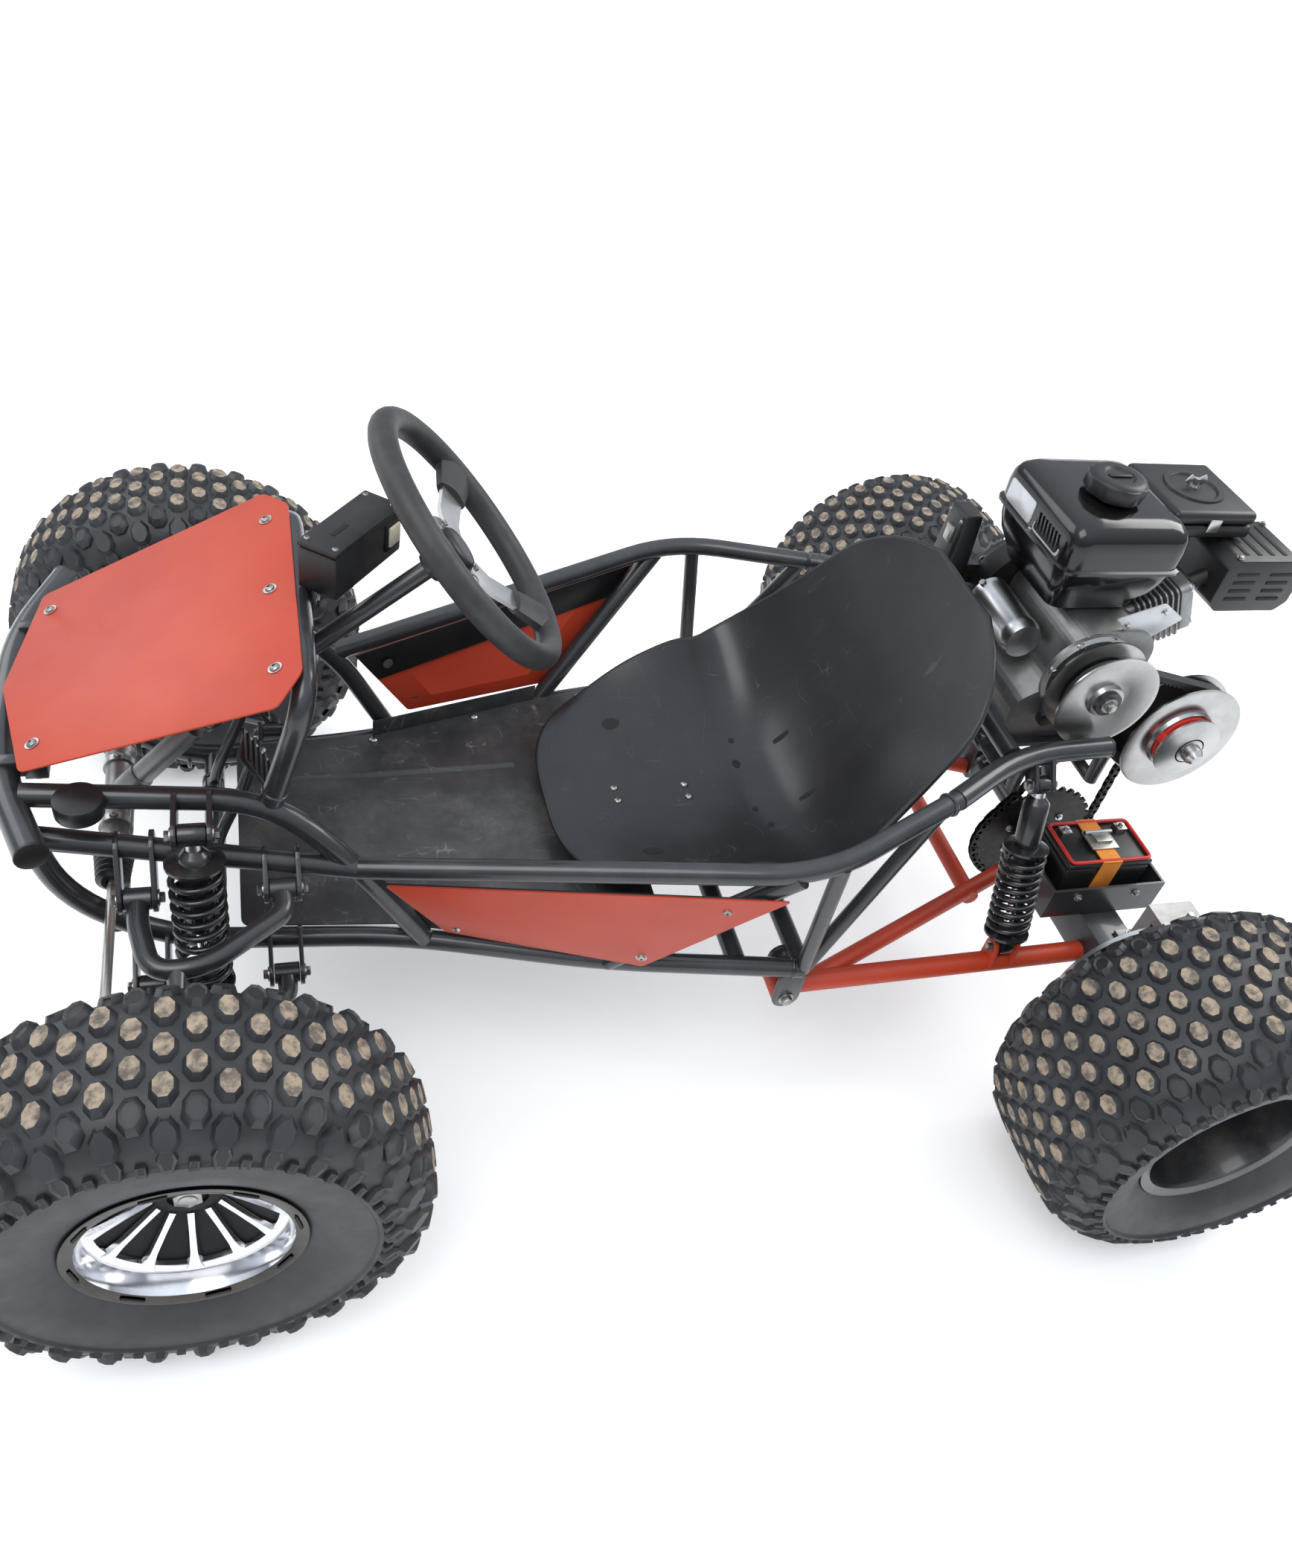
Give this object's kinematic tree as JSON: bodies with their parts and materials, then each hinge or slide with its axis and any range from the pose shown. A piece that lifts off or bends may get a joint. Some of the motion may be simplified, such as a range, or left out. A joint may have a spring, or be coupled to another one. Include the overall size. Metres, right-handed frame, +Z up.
{
  "type": "off road go kart",
  "caption": "Single-seat off-road go kart: tube frame, wishbone front suspension, sprung rear swing arm with live axle, belt-and-chain drive and knobbly tyres.",
  "frame": {"origin": "middle of the footprint, on the ground", "axes": "+X points forward, +Y to the driver's left, +Z up"},
  "size_m": [1.65, 1.236, 0.8192],
  "materials": {
    "frame_black": "satin black paint, scuffed",
    "panel_red": "satin red paint",
    "seat_plastic": "matt black moulded plastic, scratched",
    "dark_plastic": "satin black plastic",
    "tank_black": "gloss black paint",
    "cast_metal": "rough cast",
    "bright_steel": "machined",
    "muffler_metal": "heat-proof black paint",
    "belt_rubber": "matt",
    "chain_steel": "oiled, dusty",
    "grip_rubber": "matt",
    "zinc_steel": "yellow zinc plate",
    "tyre_rubber": "matt, dusty",
    "wheel_alloy": "black with machined faces",
    "spring_black": "gloss black",
    "chromed_rod": "polished"
  },
  "bodies": {
    "chassis": {"lower_frame": "frame_black", "front_frame": "frame_black", "rear_frame": "frame_black", "floor_pan": "frame_black", "hood_panel": "panel_red", "side_panel_left": "panel_red", "side_panel_right": "panel_red", "seat_shell": "seat_plastic", "dash_box": "dark_plastic", "steering_rack": "cast_metal", "engine_block": "cast_metal", "recoil_housing": "dark_plastic", "fuel_tank": "tank_black", "air_cleaner": "dark_plastic", "muffler": "muffler_metal", "starter_motor": "bright_steel", "drive_belt": "belt_rubber", "drive_chain": "chain_steel"},
    "steering": {"steering_wheel": "grip_rubber", "steering_column": "frame_black"},
    "tie_rods": {"tie_rod_left": "zinc_steel", "tie_rod_right": "zinc_steel"},
    "lower_wishbone_left": {"lower_arm_left": "frame_black"},
    "upper_wishbone_left": {"upper_arm_left": "frame_black"},
    "kingpin_left": {"kingpin_bracket_left": "frame_black"},
    "spindle_left": {"knuckle_left": "cast_metal"},
    "front_wheel_left": {"front_tyre_left": "tyre_rubber", "front_rim_left": "wheel_alloy"},
    "front_damper_left": {"front_shock_body_left": "frame_black", "front_spring_left": "spring_black"},
    "front_damper_rod_left": {"front_shock_rod_left": "chromed_rod"},
    "rear_damper_left": {"rear_shock_body_left": "frame_black", "rear_spring_left": "spring_black"},
    "rear_damper_rod_left": {"rear_shock_rod_left": "chromed_rod"},
    "lower_wishbone_right": {"lower_arm_right": "frame_black"},
    "upper_wishbone_right": {"upper_arm_right": "frame_black"},
    "kingpin_right": {"kingpin_bracket_right": "frame_black"},
    "spindle_right": {"knuckle_right": "cast_metal"},
    "front_wheel_right": {"front_tyre_right": "tyre_rubber", "front_rim_right": "wheel_alloy"},
    "front_damper_right": {"front_shock_body_right": "frame_black", "front_spring_right": "spring_black"},
    "front_damper_rod_right": {"front_shock_rod_right": "chromed_rod"},
    "rear_damper_right": {"rear_shock_body_right": "frame_black", "rear_spring_right": "spring_black"},
    "rear_damper_rod_right": {"rear_shock_rod_right": "chromed_rod"},
    "swing_arm_body": {"swing_arm": "panel_red", "battery_tray": "frame_black", "battery": "dark_plastic", "brake_caliper": "cast_metal"},
    "axle": {"rear_axle": "bright_steel", "rear_tyre_left": "tyre_rubber", "rear_tyre_right": "tyre_rubber", "rear_rim_left": "wheel_alloy", "rear_rim_right": "wheel_alloy"},
    "jackshaft": {"driven_pulley": "bright_steel"},
    "clutch": {"driver_clutch": "bright_steel"},
    "brake_lever": {"brake_pedal": "frame_black"},
    "throttle_lever": {"throttle_pedal": "frame_black"},
    "cap": {"fuel_cap": "dark_plastic"}
  },
  "joints": [
    {"name": "steering_turn", "type": "hinge", "parent": "chassis", "child": "steering", "pos_m": [0.2665, 0, 0.694], "axis": [-0.766, 0, 0.6428], "range_deg": [-105, 105]},
    {"name": "rack_slide", "type": "slide", "parent": "chassis", "child": "tie_rods", "axis": [0, 1, 0], "range_m": [-0.027, 0.027]},
    {"name": "lower_arm_hinge_left", "type": "hinge", "parent": "chassis", "child": "lower_wishbone_left", "pos_m": [0.5495, 0.208, 0.245], "axis": [1, 0, 0], "range_deg": [0, 17], "stiffness_Nm_per_rad": 200, "springref_deg": -28.65},
    {"name": "upper_arm_hinge_left", "type": "hinge", "parent": "chassis", "child": "upper_wishbone_left", "pos_m": [0.5495, 0.208, 0.392], "axis": [1, 0, 0], "range_deg": [0, 17.1]},
    {"name": "kingpin_level_left", "type": "hinge", "parent": "lower_wishbone_left", "child": "kingpin_left", "pos_m": [0.5835, 0.326, 0.225], "axis": [1, 0, 0], "range_deg": [-17.1, 0]},
    {"name": "steer_pivot_left", "type": "hinge", "parent": "kingpin_left", "child": "spindle_left", "pos_m": [0.5835, 0.362, 0.294], "axis": [0, 0, 1], "range_deg": [-22.1, 22.1]},
    {"name": "front_wheel_spin_left", "type": "hinge", "parent": "spindle_left", "child": "front_wheel_left", "pos_m": [0.5835, 0.4555, 0.2415], "axis": [0, 1, 0], "continuous": true},
    {"name": "front_damper_tilt_left", "type": "hinge", "parent": "chassis", "child": "front_damper_left", "pos_m": [0.5615, 0.212, 0.487], "axis": [1, 0, 0], "range_deg": [-1.5, 0]},
    {"name": "front_damper_stroke_left", "type": "slide", "parent": "front_damper_left", "child": "front_damper_rod_left", "axis": [0, -0.1766, 0.9843], "range_m": [0, 0.0133], "deforming": ["front_spring_left"]},
    {"name": "lower_arm_hinge_right", "type": "hinge", "parent": "chassis", "child": "lower_wishbone_right", "pos_m": [0.5495, -0.208, 0.245], "axis": [-1, 0, 0], "range_deg": [0, 17], "stiffness_Nm_per_rad": 200, "springref_deg": -28.65},
    {"name": "upper_arm_hinge_right", "type": "hinge", "parent": "chassis", "child": "upper_wishbone_right", "pos_m": [0.5495, -0.208, 0.392], "axis": [-1, 0, 0], "range_deg": [0, 17.1]},
    {"name": "kingpin_level_right", "type": "hinge", "parent": "lower_wishbone_right", "child": "kingpin_right", "pos_m": [0.5835, -0.326, 0.225], "axis": [-1, 0, 0], "range_deg": [-17.1, 0]},
    {"name": "steer_pivot_right", "type": "hinge", "parent": "kingpin_right", "child": "spindle_right", "pos_m": [0.5835, -0.362, 0.294], "axis": [0, 0, 1], "range_deg": [-22.1, 22.1]},
    {"name": "front_wheel_spin_right", "type": "hinge", "parent": "spindle_right", "child": "front_wheel_right", "pos_m": [0.5835, -0.4555, 0.2415], "axis": [0, 1, 0], "continuous": true},
    {"name": "front_damper_tilt_right", "type": "hinge", "parent": "chassis", "child": "front_damper_right", "pos_m": [0.5615, -0.212, 0.487], "axis": [-1, 0, 0], "range_deg": [-1.5, 0]},
    {"name": "front_damper_stroke_right", "type": "slide", "parent": "front_damper_right", "child": "front_damper_rod_right", "axis": [0, 0.1766, 0.9843], "range_m": [0, 0.0133], "deforming": ["front_spring_right"]},
    {"name": "swing_arm_hinge", "type": "hinge", "parent": "chassis", "child": "swing_arm_body", "pos_m": [-0.1265, 0, 0.205], "axis": [0, 1, 0], "range_deg": [0, 4.8], "stiffness_Nm_per_rad": 2000, "springref_deg": -22.92, "deforming": ["drive_chain"]},
    {"name": "rear_axle_spin", "type": "hinge", "parent": "swing_arm_body", "child": "axle", "pos_m": [-0.5965, 0, 0.2285], "axis": [0, 1, 0], "continuous": true},
    {"name": "rear_damper_tilt_left", "type": "hinge", "parent": "chassis", "child": "rear_damper_left", "pos_m": [-0.4305, 0.201, 0.474], "axis": [1, 0, 0], "range_deg": [0, 2.1]},
    {"name": "rear_damper_stroke_left", "type": "slide", "parent": "rear_damper_left", "child": "rear_damper_rod_left", "axis": [0.033, -0.2849, 0.958], "range_m": [0, 0.0262], "deforming": ["rear_spring_left"]},
    {"name": "rear_damper_tilt_right", "type": "hinge", "parent": "chassis", "child": "rear_damper_right", "pos_m": [-0.4305, -0.201, 0.474], "axis": [-1, 0, 0], "range_deg": [0, 2.1]},
    {"name": "rear_damper_stroke_right", "type": "slide", "parent": "rear_damper_right", "child": "rear_damper_rod_right", "axis": [0.033, 0.2849, 0.958], "range_m": [0, 0.0262], "deforming": ["rear_spring_right"]},
    {"name": "jackshaft_spin", "type": "hinge", "parent": "chassis", "child": "jackshaft", "pos_m": [-0.6615, 0.12, 0.492], "axis": [0, 1, 0], "continuous": true},
    {"name": "clutch_spin", "type": "hinge", "parent": "chassis", "child": "clutch", "pos_m": [-0.5155, 0.131, 0.56], "axis": [0, 1, 0], "continuous": true},
    {"name": "brake_pedal_press", "type": "hinge", "parent": "chassis", "child": "brake_lever", "pos_m": [0.5535, 0.062, 0.288], "axis": [0, 1, 0], "range_deg": [0, 20], "stiffness_Nm_per_rad": 3, "springref_deg": -11.46},
    {"name": "throttle_pedal_press", "type": "hinge", "parent": "chassis", "child": "throttle_lever", "pos_m": [0.5535, -0.062, 0.288], "axis": [0, 1, 0], "range_deg": [0, 20], "stiffness_Nm_per_rad": 3, "springref_deg": -11.46},
    {"name": "fuel_cap_twist", "type": "hinge", "parent": "chassis", "child": "cap", "pos_m": [-0.5125, -0.006, 0.776], "axis": [0, 0, 1], "range_deg": [0, 90]}
  ],
  "couplings": [
    {"joint": "rack_slide", "follows": "steering_turn", "m_per_rad": 0.01472},
    {"joint": "upper_arm_hinge_left", "follows": "lower_arm_hinge_left", "ratio": 1},
    {"joint": "kingpin_level_left", "follows": "lower_arm_hinge_left", "ratio": -1},
    {"joint": "steer_pivot_left", "follows": "steering_turn", "ratio": 0.20952},
    {"joint": "front_damper_tilt_left", "follows": "lower_arm_hinge_left", "ratio": -0.083},
    {"joint": "front_damper_stroke_left", "follows": "lower_arm_hinge_left", "m_per_rad": 0.04415},
    {"joint": "upper_arm_hinge_right", "follows": "lower_arm_hinge_right", "ratio": 1},
    {"joint": "kingpin_level_right", "follows": "lower_arm_hinge_right", "ratio": -1},
    {"joint": "steer_pivot_right", "follows": "steering_turn", "ratio": 0.20952},
    {"joint": "front_damper_tilt_right", "follows": "lower_arm_hinge_right", "ratio": -0.083},
    {"joint": "front_damper_stroke_right", "follows": "lower_arm_hinge_right", "m_per_rad": 0.04415},
    {"joint": "rear_damper_tilt_left", "follows": "swing_arm_hinge", "ratio": 0.409},
    {"joint": "rear_damper_stroke_left", "follows": "swing_arm_hinge", "m_per_rad": 0.2968},
    {"joint": "rear_damper_tilt_right", "follows": "swing_arm_hinge", "ratio": 0.409},
    {"joint": "rear_damper_stroke_right", "follows": "swing_arm_hinge", "m_per_rad": 0.2968},
    {"joint": "jackshaft_spin", "follows": "rear_axle_spin", "ratio": 4}
  ]
}
